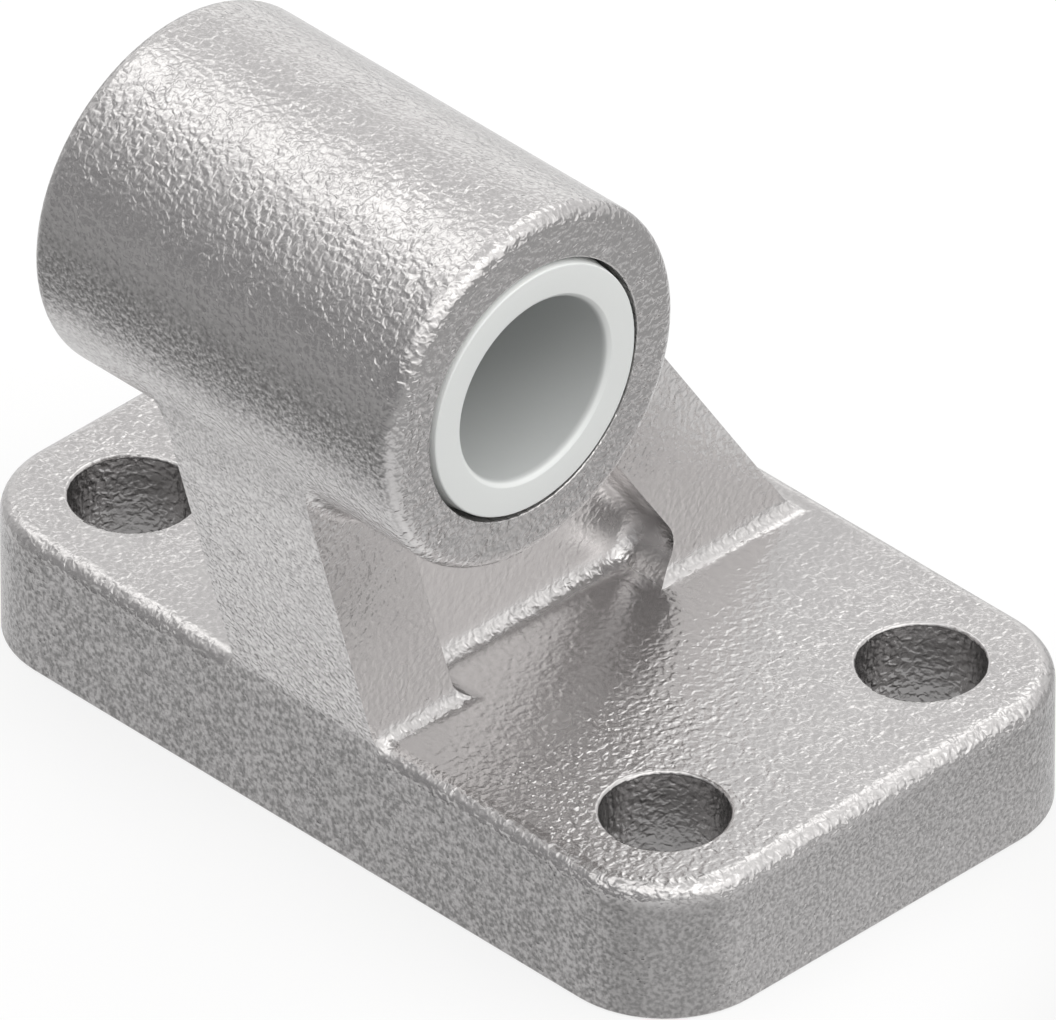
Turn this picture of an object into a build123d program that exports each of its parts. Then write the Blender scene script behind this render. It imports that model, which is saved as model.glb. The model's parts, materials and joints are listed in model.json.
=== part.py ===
from build123d import *
import os
from math import asin, atan2, cos, hypot, sin, sqrt, tan

# Right-angled clevis foot for the rear eye of a compact cylinder with a 32 mm bore.
# X runs along the pin, Y points away from the side that the eye overhangs, Z points up
# from the bolted face. The origin is the middle of the four bolt holes on that face.

# Mounting plate
plate_length = 51.0
plate_width = 31.0
plate_thickness = 8.0
plate_corner_radius = 6.0
plate_edge_radius = 1.0
plate_lower_edge_radius = 0.15
bolt_spacing_x = 38.0
bolt_spacing_y = 18.0
bolt_hole_diameter = 6.6
bolt_hole_rim_radius = 0.2

# Eye, a short tube across the top of the leg, whose axis is the pin's
eye_height = 32.0
eye_overhang = 12.0
eye_diameter = 20.0
eye_width = 25.6
eye_edge_radius = 0.9

# Leg of H section: a front and a rear slab that lean towards each other, and a thin web
leg_width = 10.0
web_thickness = 4.0
slab_thickness = 5.5
rear_slab_foot = 13.7
front_slab_inset = 0.3
rear_slab_inset = 1.6

# Hollow rounds where the casting's walls meet
root_radius = 1.0
web_radius = 1.2
front_blend_radius = 3.0
rear_blend_radius = 2.0
front_pocket_radius = 1.6
rear_pocket_radius = 2.0

# Plain bearing bush, pressed into the eye, with a tapered lead and a rounded mouth at both ends
pin_diameter = 10.0
bush_wall = 2.2
bush_proud = 0.1
bush_lead_depth = 0.3
bush_lead_length = 2.0
bush_mouth_depth = 0.3
bush_mouth_length = 0.5
bush_edge_radius = 0.1
seat_edge_radius = 0.1
press_gap = 0.0

# Sizes that follow from the ones above
half_leg = leg_width / 2
half_web = web_thickness / 2
eye_radius = eye_diameter / 2
pin_radius = pin_diameter / 2
bush_radius = pin_radius + bush_wall
seat_radius = bush_radius + press_gap
half_bush = eye_width / 2 + bush_proud
edge_start = plate_width / 2 - plate_edge_radius
buried = plate_edge_radius / 2
eye_centre = Vector(-eye_overhang, eye_height)
pin_axis = Axis((0, -eye_overhang, eye_height), (1, 0, 0))
edge_axis = Axis((0, -edge_start, plate_thickness - plate_edge_radius), (1, 0, 0))


class Flank:
    """Outer face of a slab, seen from the side as a line in the YZ plane.

    It starts at its foot on the plate's top and passes the eye's centre at the distance
    offset. side is -1 for the front slab and 1 for the rear slab.
    """

    def __init__(self, foot, offset, side):
        self.foot = Vector(foot, plate_thickness)
        self.offset = offset
        to_eye = eye_centre - self.foot
        turn = side * asin(offset / hypot(to_eye.X, to_eye.Y))
        angle = atan2(to_eye.Y, to_eye.X) - turn
        self.up = Vector(cos(angle), sin(angle))
        self.out = Vector(sin(angle), -cos(angle)) * side
        self.nearest = eye_centre + self.out * offset

    def inner_face(self, thickness):
        """Foot and upper end of the slab's other face, thickness behind this one."""
        top = self.nearest - self.out * thickness
        climb = (top.Y - plate_thickness) / self.up.Y
        return top - self.up * climb, top

    def blend(self, radius):
        """Ends of the hollow arc from this face into the round of the eye."""
        drop = sqrt((eye_radius + radius) ** 2 - (self.offset + radius) ** 2)
        centre = eye_centre + self.out * (self.offset + radius) - self.up * drop
        on_face = self.nearest - self.up * drop
        on_eye = eye_centre + (centre - eye_centre) * (eye_radius / (eye_radius + radius))
        return on_face, on_eye

    def toe(self, radius):
        """Ends of the hollow arc from this face onto the plate's top, for the rear slab."""
        run = radius / tan(atan2(self.up.Y, self.up.X) / 2)
        return self.foot + self.up * run, self.foot + Vector(run, 0)


def pairs(*points):
    """The points as plain pairs of numbers, for a line in a sketch."""
    return [(point.X, point.Y) for point in points]


front = Flank(-plate_width / 2, eye_radius - front_slab_inset, -1)
rear = Flank(rear_slab_foot, eye_radius - rear_slab_inset, 1)
front_low, front_high = front.blend(front_blend_radius)
rear_low, rear_high = rear.blend(rear_blend_radius)
toe_high, toe_low = rear.toe(root_radius)
sink = Vector(0, 2 * plate_edge_radius)

# The leg from its side, from inside the plate up to the middle of the eye
with BuildSketch(Plane.YZ) as leg_outline:
    with BuildLine():
        Polyline(*pairs(front.foot - sink, front.foot, front_low))
        RadiusArc(*pairs(front_low, front_high), -front_blend_radius)
        Polyline(*pairs(front_high, eye_centre, rear_high))
        RadiusArc(*pairs(rear_high, rear_low), -rear_blend_radius)
        Line(*pairs(rear_low, toe_high))
        RadiusArc(*pairs(toe_high, toe_low), -root_radius)
        Polyline(*pairs(toe_low, toe_low - sink, front.foot - sink))
    make_face()

front_inner_foot, front_inner_top = front.inner_face(slab_thickness)
rear_inner_foot, rear_inner_top = rear.inner_face(slab_thickness)

# The hollow between the slabs, whose floor is the plate's top
with BuildSketch(Plane.YZ.offset(half_web)) as pocket_outline:
    with BuildLine():
        Polyline(
            *pairs(front_inner_foot, front_inner_top, rear_inner_top, rear_inner_foot),
            close=True,
        )
    make_face()
    for end, radius in ((0, front_pocket_radius), (-1, rear_pocket_radius)):
        floor_corners = pocket_outline.vertices().group_by(Axis.Y)[0].sort_by(Axis.X)
        fillet(floor_corners[end], radius)

with BuildPart() as pockets:
    extrude(pocket_outline.sketch, amount=half_leg + 2 * root_radius - half_web)
    mirror(about=Plane.YZ)


def root_section(plane, floor):
    """Section of the hollow round between the leg's side and a face at the height floor."""
    tip = half_leg + root_radius
    with BuildSketch(plane) as section:
        with BuildLine():
            Polyline(
                (half_leg, floor + root_radius),
                (half_web, floor + root_radius),
                (half_web, floor - buried),
                (tip, floor - buried),
                (tip, floor),
            )
            RadiusArc((tip, floor), (half_leg, floor + root_radius), root_radius)
        make_face()
    return section.sketch


plate_root = root_section(Plane.XZ.offset(edge_start), plate_thickness)
eye_root = root_section(Plane.XZ.offset(eye_overhang), eye_height + eye_radius)

# The hollow rounds beside the leg: along the plate's top, down over the plate's rounded
# front edge, and around the eye. All end where the leg's outline ends.
with BuildPart() as roots:
    extrude(plate_root, amount=-(edge_start + toe_low.X))
    revolve(plate_root, axis=edge_axis, revolution_arc=90)
    revolve(eye_root, axis=pin_axis)
    mirror(about=Plane.YZ)
    extrude(leg_outline.sketch, amount=half_leg + 2 * root_radius, both=True, mode=Mode.INTERSECT)

with BuildPart() as leg:
    extrude(leg_outline.sketch, amount=half_leg, both=True)
    add(roots.part)
    add(pockets.part, mode=Mode.SUBTRACT)

with BuildPart() as eye:
    with BuildSketch(Plane.YZ):
        with Locations((-eye_overhang, eye_height)):
            Circle(eye_radius)
    extrude(amount=eye_width / 2, both=True)
    fillet(eye.edges().filter_by(GeomType.CIRCLE), eye_edge_radius)

# The whole foot in one casting
with BuildPart() as casting:
    with BuildSketch():
        RectangleRounded(plate_length, plate_width, plate_corner_radius)
    extrude(amount=plate_thickness)
    fillet(casting.faces().sort_by(Axis.Z)[-1].edges(), plate_edge_radius)
    fillet(casting.faces().sort_by(Axis.Z)[0].edges(), plate_lower_edge_radius)
    add(leg.part)
    add(eye.part)
    web_rim = casting.edges().filter_by(lambda edge: abs(abs(edge.center().X) - half_web) < 0.001)
    fillet(web_rim, web_radius)
    with BuildSketch():
        with GridLocations(bolt_spacing_x, bolt_spacing_y, 2, 2):
            Circle(bolt_hole_diameter / 2)
    extrude(amount=plate_thickness, mode=Mode.SUBTRACT)
    upper_rims = casting.edges().filter_by(
        lambda edge: edge.geom_type == GeomType.CIRCLE
        and abs(edge.radius - bolt_hole_diameter / 2) < 0.001
        and abs(edge.center().Z - plate_thickness) < 0.001
    )
    fillet(upper_rims, bolt_hole_rim_radius)
    with BuildSketch(Plane.YZ):
        with Locations((-eye_overhang, eye_height)):
            Circle(seat_radius)
    extrude(amount=eye_width / 2, both=True, mode=Mode.SUBTRACT)
    circles = casting.edges().filter_by(GeomType.CIRCLE)
    seat_rims = circles.filter_by(lambda edge: abs(edge.radius - seat_radius) < 0.001)
    fillet(seat_rims, seat_edge_radius)
casting.part.label = "casting"

# The bush as half its section above the axis, drawn once and mirrored end to end
with BuildPart() as bearing_bush:
    with BuildSketch(Plane.XZ.offset(eye_overhang)) as bush_section:
        bore = eye_height + pin_radius
        outside = eye_height + bush_radius
        mouth_start = (half_bush - bush_mouth_length, bore)
        mouth_end = (half_bush, bore + bush_mouth_depth)
        with BuildLine():
            TangentArc(mouth_start, mouth_end, tangent=(1, 0))
            Polyline(
                mouth_end,
                (half_bush, outside - bush_lead_depth),
                (half_bush - bush_lead_length, outside),
                (0, outside),
                (0, bore),
                mouth_start,
            )
        make_face()
        face_corners = bush_section.vertices().group_by(Axis.X)[-1]
        fillet(face_corners, bush_edge_radius)
        mirror(about=Plane.YZ)
    revolve(axis=pin_axis)
bearing_bush.part.label = "bearing_bush"

os.makedirs("parts", exist_ok=True)
export_step(casting.part, "parts/casting.step")
export_step(bearing_bush.part, "parts/bearing_bush.step")

for piece in (casting.part, bearing_bush.part):
    print(piece.label, round(piece.volume, 1), piece.bounding_box().size)
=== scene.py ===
# %% [markdown]
# This lesson dresses a small mounting foot: a rectangular plate with four bolt holes, a leaning
# leg of H section, and a short thick tube, the eye, that holds a white bearing bush. The shapes
# of the casting come from its CAD model, so the lesson is mostly about cast metal: a fine grain
# that sparkles, and a soft studio for it to reflect. The bush is built again with Geometry
# Nodes, as a section turned round the pin.

import json
from math import cos, pi, radians, sin

import bpy
from mathutils import Matrix, Vector


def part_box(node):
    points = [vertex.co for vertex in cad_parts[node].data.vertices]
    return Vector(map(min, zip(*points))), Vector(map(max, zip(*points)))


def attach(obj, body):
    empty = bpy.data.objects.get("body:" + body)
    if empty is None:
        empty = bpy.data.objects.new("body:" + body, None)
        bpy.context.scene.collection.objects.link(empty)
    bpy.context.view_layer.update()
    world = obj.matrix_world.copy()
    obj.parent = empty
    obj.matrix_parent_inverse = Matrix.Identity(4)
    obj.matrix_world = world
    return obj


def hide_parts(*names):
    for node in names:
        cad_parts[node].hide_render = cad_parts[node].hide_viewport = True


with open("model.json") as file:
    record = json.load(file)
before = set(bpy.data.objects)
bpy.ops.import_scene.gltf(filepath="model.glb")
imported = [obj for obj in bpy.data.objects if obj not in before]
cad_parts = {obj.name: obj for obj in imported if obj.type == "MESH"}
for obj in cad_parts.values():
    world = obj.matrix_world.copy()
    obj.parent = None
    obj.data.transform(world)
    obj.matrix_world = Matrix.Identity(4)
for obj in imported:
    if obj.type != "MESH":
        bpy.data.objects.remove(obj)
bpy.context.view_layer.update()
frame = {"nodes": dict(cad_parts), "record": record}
scene = bpy.context.scene
scene.view_settings.view_transform = "Standard"
casting = frame["nodes"]["casting"]
mounts = {mount["name"]: mount for mount in frame["record"]["mounts"]}
mm = 0.001
print("nodes:", sorted(frame["nodes"]))

# %% [markdown]
# The camera looks down on a corner of the plate from about two metres with a very long lens.
# Lines that are parallel on the real part stay almost parallel in such a picture. The angles
# were found by matching the part's edges, so the picture and the model cover each other.

# %% Camera
image_width = 1056
azimuth, elevation, roll = radians(45.526), radians(35.618), radians(-0.0557)
distance = 2.0758
focal_pixels = 41358.07
target_right, target_up = 0.0000963, 0.009869

back = Vector((sin(azimuth) * cos(elevation), -cos(azimuth) * cos(elevation), sin(elevation)))
right = (-back).cross(Vector((0, 0, 1))).normalized()
up = right.cross(-back)
place = right * target_right + up * target_up + back * distance
rolled_right = right * cos(roll) + up * sin(roll)
rolled_up = up * cos(roll) - right * sin(roll)

camera_data = bpy.data.cameras.new("camera")
camera_data.sensor_fit = "HORIZONTAL"
camera_data.sensor_width = 36
camera_data.lens = focal_pixels / image_width * camera_data.sensor_width
camera_data.clip_start, camera_data.clip_end = 0.1, 60
camera = bpy.data.objects.new("camera", camera_data)
scene.collection.objects.link(camera)
camera.matrix_world = Matrix((
    (rolled_right.x, rolled_up.x, back.x, place.x),
    (rolled_right.y, rolled_up.y, back.y, place.y),
    (rolled_right.z, rolled_up.z, back.z, place.z),
    (0, 0, 0, 1),
))
scene.camera = camera
print("lens in mm:", round(camera_data.lens, 1))

# %% [markdown]
# Every material and group below is a handful of nodes joined by links. Two small helpers keep
# the lines short: one adds a node and fills its sockets, the other opens an empty node group
# with named inputs and outputs.

# %% Node helpers
def add_node(tree, kind, inputs=None, **settings):
    """A new node with its settings; an input is a value, or an output socket to link."""
    node = tree.nodes.new(kind)
    for name, value in settings.items():
        setattr(node, name, value)
    for name, value in (inputs or {}).items():
        if isinstance(value, bpy.types.NodeSocket):
            tree.links.new(value, node.inputs[name])
        else:
            node.inputs[name].default_value = value
    return node


def new_group(name, kind, inputs, outputs):
    """An empty node group with its input and output nodes. Sockets are name: (type, value)."""
    group = bpy.data.node_groups.new(name, kind)
    for way, sockets in (("INPUT", inputs), ("OUTPUT", outputs)):
        for label, (socket_type, value) in sockets.items():
            socket = group.interface.new_socket(label, in_out=way, socket_type=socket_type)
            if value is not None:
                socket.default_value = value
    return group, group.nodes.new("NodeGroupInput"), group.nodes.new("NodeGroupOutput")


def use_group(tree, group, inputs):
    """A node that places the group in a material or a world with its own values."""
    return add_node(tree, tree.bl_idname.replace("Tree", "Group"), inputs, node_tree=group)


# %% [markdown]
# Metal shows its surroundings more than its own colour, so the studio matters as much as the
# surface. A soft lamp is a round glow on the sky: brightest at its middle, and fading the
# faster the sharper it is. Five stand high: on the left, on the right, behind, in front and
# above the camera. One hangs over the part, and five weaker ones fill in from the left, from
# behind and from the right. The studio is dimmest between the front and the left, and that
# gives the eye's flank its dark band. The lamps are a little warm, and the haze between them is
# a little violet, so bright and dim metal differ in hue as well.

# %% A soft lamp on the sky
number, vector = "NodeSocketFloat", "NodeSocketVector"
soft_lamp, lamp_in, lamp_out = new_group(
    "soft_lamp", "ShaderNodeTree",
    {"Ray": (vector, None), "Towards": (vector, None), "Sharpness": (number, 10.0),
     "Strength": (number, 1.0)},
    {"Light": (number, None)},
)
facing = add_node(soft_lamp, "ShaderNodeVectorMath",
                  {0: lamp_in.outputs["Ray"], 1: lamp_in.outputs["Towards"]}, operation="DOT_PRODUCT")
below_one = add_node(soft_lamp, "ShaderNodeMath", {0: facing.outputs["Value"], 1: 1.0},
                     operation="SUBTRACT")
steep = add_node(soft_lamp, "ShaderNodeMath",
                 {0: below_one.outputs[0], 1: lamp_in.outputs["Sharpness"]}, operation="MULTIPLY")
fade = add_node(soft_lamp, "ShaderNodeMath", {0: steep.outputs[0]}, operation="EXPONENT")
light = add_node(soft_lamp, "ShaderNodeMath",
                 {0: fade.outputs[0], 1: lamp_in.outputs["Strength"]}, operation="MULTIPLY")
soft_lamp.links.new(light.outputs[0], lamp_out.inputs["Light"])

# %% The studio
haze_level = 0.245
# Each lamp: turn from -Y towards +X and height, both in degrees, then sharpness and strength
lamps = {
    "high left": (-91.5, 53.5, 26.0, 2.0),
    "high right": (90.5, 50.3, 40.0, 1.94),
    "high behind": (-165.3, 53.5, 24.8, 2.10),
    "high in front": (-6.8, 51.0, 13.6, 1.37),
    "low left": (-106.6, -6.4, 3.8, 0.95),
    "low behind": (-166.0, -3.3, 3.6, 0.73),
    "wide right": (97.7, 29.3, 3.8, 1.37),
    "right behind": (134.5, 38.0, 9.0, 0.35),
    "far behind": (-142.0, 0.0, 25.0, 0.4),
    "overhead": (10.0, 72.0, 8.0, 0.45),
    "above the camera": (42.0, 51.0, 24.0, 1.1),
}


def towards(turn, height):
    """The direction at that turn and height, in degrees."""
    turn, height = radians(turn), radians(height)
    return Vector((sin(turn) * cos(height), -cos(turn) * cos(height), sin(height)))


world = bpy.data.worlds.new("studio")
scene.world = world
world.use_nodes = True
sky = world.node_tree
sky.nodes.clear()
ray = add_node(sky, "ShaderNodeTexCoord").outputs["Generated"]
total = 0.0
for name, (turn, height, sharpness, strength) in lamps.items():
    lamp = use_group(sky, soft_lamp, {"Ray": ray, "Towards": towards(turn, height),
                                      "Sharpness": sharpness, "Strength": strength})
    lamp.label = name
    total = add_node(sky, "ShaderNodeMath", {0: total, 1: lamp.outputs["Light"]}).outputs[0]
glow = add_node(sky, "ShaderNodeBackground", {"Color": (1.0, 1.0, 0.985, 1), "Strength": total})
haze = add_node(sky, "ShaderNodeBackground", {"Color": (1.0, 0.985, 1.012, 1),
                                              "Strength": haze_level})
both = add_node(sky, "ShaderNodeAddShader", {0: glow.outputs[0], 1: haze.outputs[0]})
add_node(sky, "ShaderNodeOutputWorld", {"Surface": both.outputs[0]})
print("soft lamps:", len(lamps))

# %% [markdown]
# The floor is a wide board. Its own colour is a middle grey, so little light comes back from it
# onto the part, and it carries the part's soft shadow. A glow that only the camera, mirrors and
# glass see lifts it: to white in a long patch that runs away from the camera, and to pale grey
# beyond, as on a table with a lit sheet on it. So the metal shows the same board as the picture
# does, and has something darker than white to show as well. From below the board is clear.

# %% Floor
floor_radius, floor_steps, floor_drop = 1.5, 96, 0.05 * mm
floor_colour, patch_glow, table_glow = 0.2, 0.755, 0.24
# Half the white patch's width and length, how far its fade reaches as a share of them, and
# how far the patch's middle lies behind the part and to its left, as the camera sees it
half_wide, half_long, patch_fade = 45 * mm, 250 * mm, 1.6
patch_away, patch_left = 195 * mm, 6 * mm

turns = [2 * pi * i / floor_steps for i in range(floor_steps)]
rim = [(floor_radius * cos(turn), floor_radius * sin(turn), -floor_drop) for turn in turns]
patch_middle = Matrix.Rotation(azimuth, 3, "Z") @ Vector((-patch_left, patch_away, 0))
floor_mesh = bpy.data.meshes.new("floor")
floor_mesh.from_pydata(rim, [], [range(floor_steps)])
floor = bpy.data.objects.new("floor", floor_mesh)
scene.collection.objects.link(floor)
board = bpy.data.materials.new("white_board")
board.use_nodes = True
paint = board.node_tree
paint.nodes.clear()
matte = add_node(paint, "ShaderNodeBsdfDiffuse",
                 {"Color": (floor_colour, floor_colour, floor_colour, 1)})
spot = add_node(paint, "ShaderNodeTexCoord")
laid = add_node(paint, "ShaderNodeMapping",
                {"Vector": spot.outputs["Object"], "Location": patch_middle,
                 "Rotation": (0, 0, azimuth), "Scale": (half_wide, half_long, 1)},
                vector_type="TEXTURE")
from_middle = add_node(paint, "ShaderNodeVectorMath", {0: laid.outputs[0]}, operation="LENGTH")
board_glow = add_node(paint, "ShaderNodeMapRange",
                      {"Value": from_middle.outputs["Value"], "From Min": 1.0, "From Max": patch_fade,
                       "To Min": patch_glow, "To Max": table_glow}, interpolation_type="SMOOTHSTEP")
path = add_node(paint, "ShaderNodeLightPath")
seen = add_node(paint, "ShaderNodeMath", {0: path.outputs["Is Camera Ray"],
                                          1: path.outputs["Is Glossy Ray"]}, operation="MAXIMUM")
seen = add_node(paint, "ShaderNodeMath", {0: seen.outputs[0],
                                          1: path.outputs["Is Transmission Ray"]}, operation="MAXIMUM")
lift = add_node(paint, "ShaderNodeMath", {0: seen.outputs[0], 1: board_glow.outputs[0]},
                operation="MULTIPLY")
extra = add_node(paint, "ShaderNodeEmission", {"Color": (1, 1, 1, 1), "Strength": lift.outputs[0]})
white = add_node(paint, "ShaderNodeAddShader", {0: matte.outputs[0], 1: extra.outputs[0]})
side_seen = add_node(paint, "ShaderNodeNewGeometry")
clear = add_node(paint, "ShaderNodeBsdfTransparent")
one_sided = add_node(paint, "ShaderNodeMixShader", {0: side_seen.outputs["Backfacing"],
                                                    1: white.outputs[0], 2: clear.outputs[0]})
add_node(paint, "ShaderNodeOutputMaterial", {"Surface": one_sided.outputs[0]})
floor.data.materials.append(board)
print("white patch in mm:", [round(2 * half / mm) for half in (half_wide, half_long)])

# %% [markdown]
# The casting's skin is covered in grain: small rounded lumps a few tenths of a millimetre
# across, such as a mould and blasting leave. They hardly change the shape, but each one tilts
# the metal a few degrees, which is enough to make it sparkle wherever the studio changes from
# light to dark. One group makes the grain, in two sizes. It also says where the hollows of the
# fine one are, so that dust and painted shade can darken the metal there. Sizes are in millimetres.

# %% Cast grain
cast_grain, grain_in, grain_out = new_group(
    "cast_grain", "ShaderNodeTree",
    {"Vector": (vector, None), "Lump Size": (number, 0.45), "Fine Size": (number, 0.2),
     "Fine Share": (number, 0.3), "Curl": (number, 0.3)},
    {"Height": (number, None), "Hollows": (number, None)},
)


def noise_of_size(tree, vector_socket, size_socket, curl_socket, detail):
    """Noise whose lumps are that many millimetres across, read in metres."""
    per_metre = add_node(tree, "ShaderNodeMath", {0: 1 / mm, 1: size_socket}, operation="DIVIDE")
    return add_node(tree, "ShaderNodeTexNoise",
                    {"Vector": vector_socket, "Scale": per_metre.outputs[0], "Detail": detail,
                     "Roughness": 0.5, "Distortion": curl_socket}).outputs["Fac"]


lumps = noise_of_size(cast_grain, grain_in.outputs["Vector"], grain_in.outputs["Lump Size"],
                      grain_in.outputs["Curl"], 0.8)
fine = noise_of_size(cast_grain, grain_in.outputs["Vector"], grain_in.outputs["Fine Size"],
                     0.0, 1.0)
fine_part = add_node(cast_grain, "ShaderNodeMath",
                     {0: fine, 1: grain_in.outputs["Fine Share"]}, operation="MULTIPLY")
skin = add_node(cast_grain, "ShaderNodeMath", {0: lumps, 1: fine_part.outputs[0]})
hollows = add_node(cast_grain, "ShaderNodeMapRange",
                   {"Value": fine, "From Min": 0.66, "From Max": 0.34})
cast_grain.links.new(skin.outputs[0], grain_out.inputs["Height"])
cast_grain.links.new(hollows.outputs[0], grain_out.inputs["Hollows"])
print("group:", cast_grain.name)

# %% [markdown]
# As-cast aluminium is bare metal, pale grey and half matte. In the photograph its skin isn't
# the same all over: the grain looks coarser on the plate's rim and on the faces that look
# forwards and down, with dust and painted shade in its hollows, and smoother on the leg. Masks
# say where that is, from the place and the direction of the surface. The same masks paint light
# and shade on the metal, a little lighter or darker from place to place. That only brings it
# closer to the photograph, and no other reason for it is known.

# %% Masks for the casting
metal = bpy.data.materials.new("cast_metal")
metal.use_nodes = True
nodes = metal.node_tree
nodes.nodes.clear()
surroundings = add_node(nodes, "ShaderNodeTexCoord")
where = surroundings.outputs["Object"]
split = add_node(nodes, "ShaderNodeSeparateXYZ", {0: where})
plate_top, leg_half = 8 * mm, 5 * mm
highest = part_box("casting")[1]
plate_front = -highest.y
eye_bottom = 2 * mounts["pin_bore"]["pos_m"][2] - highest.z
holes = mounts["bolt_holes"]["dims"]
hole_place = (holes["spacing_x_mm"] * mm / 2, holes["spacing_y_mm"] * mm / 2, 0.0)
hole_radius = holes["hole_r_mm"] * mm
forwards_and_down = (0.0, -0.87, -0.5)


def mask(value, start, end):
    """A soft step of the value, from 0 at start to 1 at end, in the material at hand."""
    return add_node(nodes, "ShaderNodeMapRange", {"Value": value, "From Min": start, "From Max": end},
                    interpolation_type="SMOOTHSTEP").outputs[0]


def work_out(operation, first, second=0.0):
    """The result of one operation on two values or sockets."""
    return add_node(nodes, "ShaderNodeMath", {0: first, 1: second}, operation=operation).outputs[0]


def times(first, *others):
    """The product of values or sockets."""
    for other in others:
        first = work_out("MULTIPLY", first, other)
    return first


def between(factor, at_zero, at_one):
    """A value that runs from at_zero to at_one while the factor runs from 0 to 1."""
    return work_out("ADD", times(factor, at_one - at_zero), at_zero)


def vector_step(operation, first, second=(0, 0, 0)):
    """The result of one operation on two vectors."""
    return add_node(nodes, "ShaderNodeVectorMath", {0: first, 1: second}, operation=operation)


place_x, place_y, place_z = [split.outputs[name] for name in "XYZ"]
normal = surroundings.outputs["Normal"]
turned = add_node(nodes, "ShaderNodeSeparateXYZ", {0: normal})
turned_x, turned_y, turned_z = [turned.outputs[name] for name in "XYZ"]
off_middle = work_out("ABSOLUTE", place_x)
not_rear = mask(turned_y, 0.6, 0.3)
under_eye = mask(place_z, eye_bottom + 5 * mm, eye_bottom - mm)
# The leg's rear face under the eye, which only gets painted shade.
rear = times(between(not_rear, 1.0, 0.0), under_eye)
above_plate = mask(place_z, plate_top + 0.1 * mm, plate_top + 0.6 * mm)
near_leg = times(mask(off_middle, 3 * leg_half, leg_half), under_eye)
leg = times(near_leg, above_plate, not_rear)
behind_front = mask(place_y, plate_front + 0.5 * mm, plate_front + 1.5 * mm)
inside_leg = mask(off_middle, leg_half - 0.1 * mm, leg_half - 0.6 * mm)
pocket = times(leg, behind_front, inside_leg)
not_pocket = between(pocket, 1.0, 0.0)
rim = mask(place_z, plate_top - 0.6 * mm, plate_top - 1.4 * mm)
rounded = times(mask(turned_z, 0.99, 0.9), mask(turned_z, 0.3, 0.6))
edge = times(mask(place_z, plate_top + 1.6 * mm, plate_top + 1.1 * mm), rounded)
downward = times(mask(turned_z, -0.05, -0.4), between(pocket, 1.0, 0.6))
low_side = vector_step("DOT_PRODUCT", normal, forwards_and_down).outputs["Value"]
low_side = times(mask(low_side, 0.6, 0.88), not_pocket)
quarter = vector_step("ABSOLUTE", where).outputs[0]
from_hole = vector_step("SUBTRACT", quarter, hole_place).outputs[0]
from_hole = vector_step("MULTIPLY", from_hole, (1.0, 1.0, 0.0)).outputs[0]
from_hole = vector_step("LENGTH", from_hole).outputs["Value"]
hole = mask(from_hole, hole_radius + 0.3 * mm, hole_radius + 0.1 * mm)
coarse = work_out("MAXIMUM", low_side, times(rim, 0.7))
coarse = times(coarse, between(hole, 1.0, 0.0))
# Two of the plate's corners at its rim, which only get painted shade.
corner = times(rim, mask(times(turned_x, turned_y), -0.15, -0.4))
sideways = times(mask(work_out("ABSOLUTE", turned_x), 0.8, 0.98), not_pocket)
print("masks: leg, pocket, rim, edge, rear, downward, hole, corner, coarse, sideways")

# %% [markdown]
# The masks set how deep the grain goes, how much dust and painted shade show in its hollows,
# and how much painted light or painted shade the metal gets. Less dust and painted shade lie
# where the metal looks down, and painted light makes it brighter there. Broad faint clouds,
# some millimetres wide, vary the depth of the grain and the shine a little.

# %% Cast metal
# The second tone is dust and painted shade in the grain's hollows.
clean, dust_and_shade_tone = (0.55, 0.537, 0.534, 1), (0.26, 0.254, 0.252, 1)
# The last value is painted light: faces that look down are made this much brighter.
grain_depth, plain_bright, underside_painted_light = 0.115 * mm, 0.95, 1.3
# How much painted light (lighter) or painted shade (darker) the metal gets at each mask
painted_light_and_shade = (
    (leg, 0.16), (pocket, 0.11), (times(edge, leg), -0.3), (rim, -0.08), (corner, -0.2),
    (low_side, -0.1), (rear, -0.12),
)

grain = use_group(nodes, cast_grain, {"Vector": where, "Lump Size": 0.36, "Fine Size": 0.22,
                                      "Fine Share": between(coarse, 0.1, 0.7), "Curl": 0.35})
patches = add_node(nodes, "ShaderNodeTexNoise", {"Vector": where, "Scale": 600.0, "Detail": 1.0})
patchy = add_node(nodes, "ShaderNodeMapRange", {"Value": patches.outputs["Fac"], "From Min": 0.35,
                                                "From Max": 0.65, "To Min": 0.75, "To Max": 1.1})
smoother = work_out("SUBTRACT", times(near_leg, not_rear), times(edge, 0.6))
smoother = times(between(coarse, 1.0, 0.0), smoother)
smoother = work_out("MAXIMUM", smoother, times(hole, 0.6))
depth = times(between(smoother, 1.0, 0.4), grain_depth,
              work_out("ADD", times(sideways, 0.5), patchy.outputs[0]))
# Dust and painted shade darken the grain's hollows, less where the metal looks down.
dust_and_shade_share = times(coarse, between(downward, 1.0, 0.4))
dust_and_hollow_shade = times(grain.outputs["Hollows"], between(dust_and_shade_share, 0.05, 1.0))
tone = add_node(nodes, "ShaderNodeMix", {"Factor": dust_and_hollow_shade, "A": clean, "B": dust_and_shade_tone}, data_type="RGBA")
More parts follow.
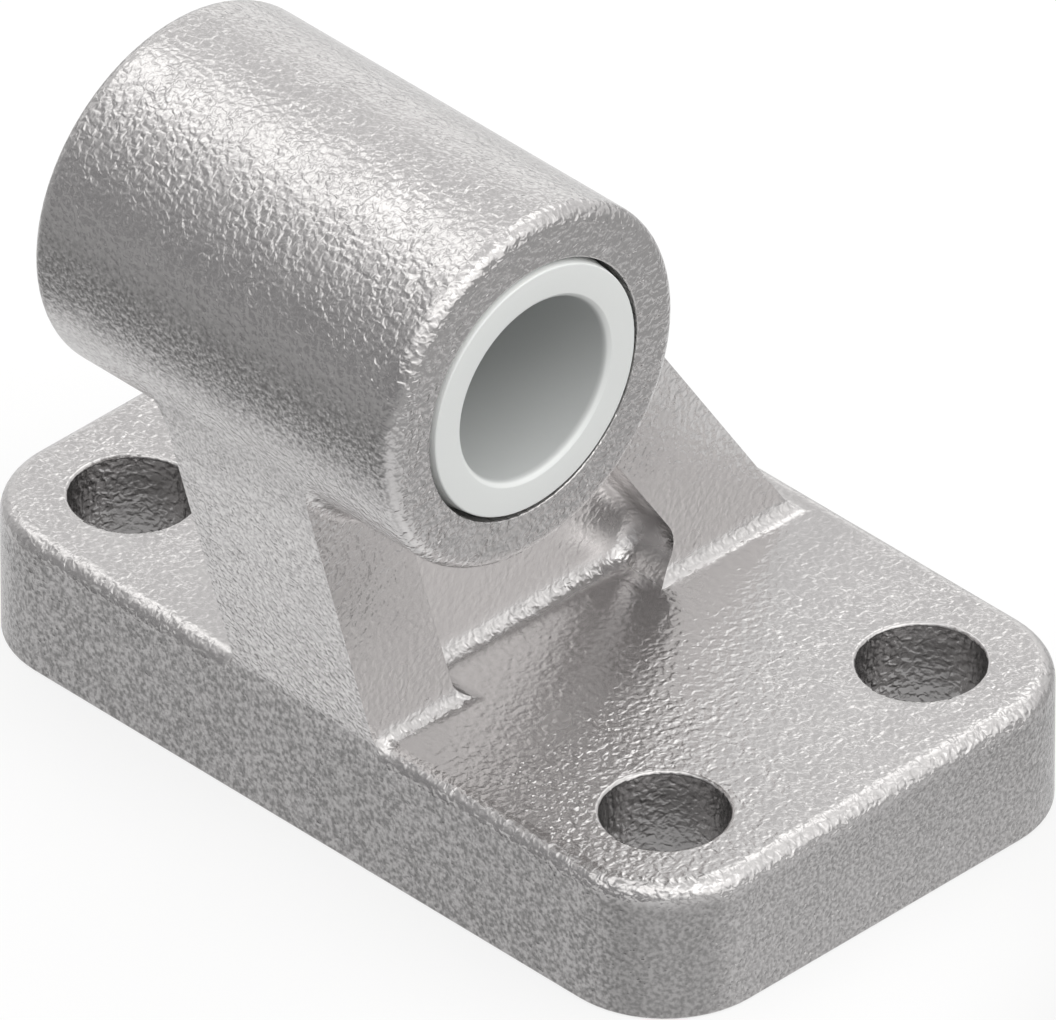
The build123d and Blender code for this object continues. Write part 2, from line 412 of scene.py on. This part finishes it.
# Painted light and painted shade: each mask makes the metal lighter or darker.
painted_brightness = plain_bright
for area, change in painted_light_and_shade:
    painted_brightness = work_out("ADD", painted_brightness, times(area, change))
painted_brightness = times(painted_brightness, between(downward, 1.0, underside_painted_light))
tone_with_painted_light = add_node(nodes, "ShaderNodeVectorMath", {0: tone.outputs[2], "Scale": painted_brightness},
                  operation="SCALE")
clouds = add_node(nodes, "ShaderNodeTexNoise", {"Vector": where, "Scale": 180.0, "Detail": 2.0})
shine = add_node(nodes, "ShaderNodeMapRange", {"Value": clouds.outputs["Fac"], "From Min": 0.3,
                                               "From Max": 0.7, "To Min": 0.2, "To Max": 0.28})
roughness = work_out("ADD", shine.outputs[0], times(edge, 0.05))
tilt = add_node(nodes, "ShaderNodeBump", {"Height": grain.outputs["Height"], "Strength": 1.0,
                                          "Distance": depth})
surface = add_node(nodes, "ShaderNodeBsdfPrincipled",
                   {"Base Color": tone_with_painted_light.outputs[0], "Metallic": 0.95,
                    "Roughness": roughness, "Normal": tilt.outputs[0]})
add_node(nodes, "ShaderNodeOutputMaterial", {"Surface": surface.outputs[0]})
for slot in casting.material_slots:
    slot.material = metal
print("casting wears:", [slot.material.name for slot in casting.material_slots])

# %% [markdown]
# The bush is a plain tube of white plastic, pressed into the eye. It has a rounded mouth at
# each end, to lead the pin in, and a taper outside, which led it into its seat and shows as a
# dark ring. Its shape follows a rule, a section turned round the pin, so it is made with
# Geometry Nodes. The section is drawn as a closed line with sharp corners, and each corner
# carries the radius that it will be rounded to. Half of it is written down, and the other half
# mirrors that. Its sizes are in millimetres, and the bush's place, length and diameter are
# read off its CAD model.

# %% The bush's section
low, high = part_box("bearing_bush")
axis_place = (low + high) / 2
half_bush, bush_radius = (high.x - low.x) / 2 / mm, (high.z - low.z) / 2 / mm
bush_wall = 2.2
pin_radius = bush_radius - bush_wall
mouth_turn, mouth_depth, mouth_radius = 0.16, 0.3, 0.52
lead_length, lead_depth, edge_radius = 2.0, 0.3, 0.1
# Each corner: distance from the axis, place along it, and the radius of its rounding
one_end = [
    (pin_radius, half_bush - mouth_turn, mouth_radius),
    (pin_radius + mouth_depth, half_bush, edge_radius),
    (bush_radius - lead_depth, half_bush, edge_radius),
    (bush_radius, half_bush - lead_length, edge_radius),
]
outline = one_end + [(radius, -along, round_off) for radius, along, round_off in reversed(one_end)]
section = bpy.data.curves.new("bearing_bush_skin", "CURVE")
section.dimensions = "3D"
line = section.splines.new("POLY")
line.points.add(len(outline) - 1)
for point, (radius, along, round_off) in zip(line.points, outline):
    point.co = (radius * mm, along * mm, 0, 1)
    point.radius = round_off * mm
line.use_cyclic_u = True
print("section corners:", len(outline))

# %% [markdown]
# The tree rounds the section's corners by the radius that each carries and sweeps it round a
# circle. Curve to Mesh puts the section's own origin on the circle, so the section is first
# moved inwards by the circle's radius. The ring that comes out lies flat, and is then stood up
# on the pin's axis.

# %% The turning tree
turn_section, turn_in, turn_out = new_group(
    "turn_section", "GeometryNodeTree",
    {"Geometry": ("NodeSocketGeometry", None), "Steps": ("NodeSocketInt", 128),
     "Circle Radius": (number, 0.006), "Corner Steps": ("NodeSocketInt", 6),
     "Axis Place": (vector, None), "Material": ("NodeSocketMaterial", None)},
    {"Geometry": ("NodeSocketGeometry", None)},
)
corner_radius = add_node(turn_section, "GeometryNodeInputRadius")
rounded = add_node(turn_section, "GeometryNodeFilletCurve",
                   {"Curve": turn_in.outputs["Geometry"], "Count": turn_in.outputs["Corner Steps"],
                    "Radius": corner_radius.outputs[0]}, mode="POLY")
inwards = add_node(turn_section, "ShaderNodeMath",
                   {0: turn_in.outputs["Circle Radius"], 1: -1.0}, operation="MULTIPLY")
shift = add_node(turn_section, "ShaderNodeCombineXYZ", {"X": inwards.outputs[0]})
centred = add_node(turn_section, "GeometryNodeTransform",
                   {"Geometry": rounded.outputs["Curve"], "Translation": shift.outputs[0]})
circle = add_node(turn_section, "GeometryNodeCurvePrimitiveCircle",
                  {"Resolution": turn_in.outputs["Steps"],
                   "Radius": turn_in.outputs["Circle Radius"]}, mode="RADIUS")
level = add_node(turn_section, "GeometryNodeSetCurveNormal",
                 {"Curve": circle.outputs["Curve"]}, mode="Z_UP")
ring = add_node(turn_section, "GeometryNodeCurveToMesh",
                {"Curve": level.outputs["Curve"], "Profile Curve": centred.outputs["Geometry"]})
stood = add_node(turn_section, "GeometryNodeTransform",
                 {"Geometry": ring.outputs["Mesh"], "Rotation": (0, pi / 2, 0),
                  "Translation": turn_in.outputs["Axis Place"]})
smooth = add_node(turn_section, "GeometryNodeSetShadeSmooth", {"Geometry": stood.outputs["Geometry"]})
real = add_node(turn_section, "GeometryNodeRealizeInstances", {"Geometry": smooth.outputs["Geometry"]})
dressed = add_node(turn_section, "GeometryNodeSetMaterial",
                   {"Geometry": real.outputs["Geometry"], "Material": turn_in.outputs["Material"]})
turn_section.links.new(dressed.outputs["Geometry"], turn_out.inputs["Geometry"])
print("tree:", turn_section.name)

# %% [markdown]
# The plastic is an even, slightly cool white with a low sheen. Up close a moulded face has
# faint flow marks and a very fine texture, so both are there, just strong enough to break up
# the reflections. In the bore it is greyer, which is painted shade, as it looks in the photograph.

# %% Bush plastic
plastic = bpy.data.materials.new("bush_plastic")
plastic.use_nodes = True
nodes = plastic.node_tree
nodes.nodes.clear()
surroundings = add_node(nodes, "ShaderNodeTexCoord")
where = surroundings.outputs["Object"]
grain = use_group(nodes, cast_grain, {"Vector": where, "Lump Size": 0.25, "Fine Size": 0.1,
                                      "Fine Share": 0.4, "Curl": 0.0})
flow = add_node(nodes, "ShaderNodeTexNoise", {"Vector": where, "Scale": 220.0, "Detail": 1.0,
                                              "Distortion": 1.5})
tone = add_node(nodes, "ShaderNodeMix", {"Factor": flow.outputs["Fac"],
                                         "A": (0.8, 0.82, 0.81, 1),
                                         "B": (0.82, 0.835, 0.825, 1)},
                data_type="RGBA")
off_axis = vector_step("SUBTRACT", where, axis_place).outputs[0]
across = vector_step("MULTIPLY", off_axis, (0.0, 1.0, 1.0)).outputs[0]
from_axis = vector_step("LENGTH", across).outputs["Value"]
# The bore's greyer tone is painted shade.
bore_painted_shade = mask(from_axis, (pin_radius + 0.15) * mm, (pin_radius + 0.02) * mm)
tone = add_node(nodes, "ShaderNodeMix", {"Factor": bore_painted_shade, "A": tone.outputs[2],
                                         "B": (0.56, 0.575, 0.57, 1)}, data_type="RGBA")
shine = add_node(nodes, "ShaderNodeMapRange", {"Value": flow.outputs["Fac"], "From Min": 0.3,
                                               "From Max": 0.7, "To Min": 0.38, "To Max": 0.46})
tilt = add_node(nodes, "ShaderNodeBump", {"Height": grain.outputs["Height"], "Strength": 1.0,
                                          "Distance": 0.003 * mm})
surface = add_node(nodes, "ShaderNodeBsdfPrincipled",
                   {"Base Color": tone.outputs[2], "Roughness": shine.outputs[0],
                    "Normal": tilt.outputs[0]})
add_node(nodes, "ShaderNodeOutputMaterial", {"Surface": surface.outputs[0]})
print("plastic:", plastic.name)

# %% [markdown]
# Now the tree is put on the section's curve, its inputs are set, and the result is kept as a
# plain mesh. A modifier's input is known by its identifier, not by its name.

# %% Turn the bush
def grow(curve, tree, values):
    """The mesh that the tree makes from the curve, as an object of its own."""
    holder = bpy.data.objects.new(curve.name + "_section", curve)
    scene.collection.objects.link(holder)
    modifier = holder.modifiers.new("turn", "NODES")
    modifier.node_group = tree
    for item in tree.interface.items_tree:
        if item.in_out == "INPUT" and item.name in values:
            modifier[item.identifier] = values[item.name]
    ready = holder.evaluated_get(bpy.context.evaluated_depsgraph_get())
    mesh = bpy.data.meshes.new_from_object(ready)
    mesh.name = curve.name
    bpy.data.objects.remove(holder)
    piece = bpy.data.objects.new(curve.name, mesh)
    scene.collection.objects.link(piece)
    return piece


bush = grow(section, turn_section, {
    "Steps": 160, "Circle Radius": 6 * mm, "Corner Steps": 6,
    "Axis Place": axis_place, "Material": plastic,
})
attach(bush, "root")
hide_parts("bearing_bush")
print("bush:", len(bush.data.polygons), "faces")
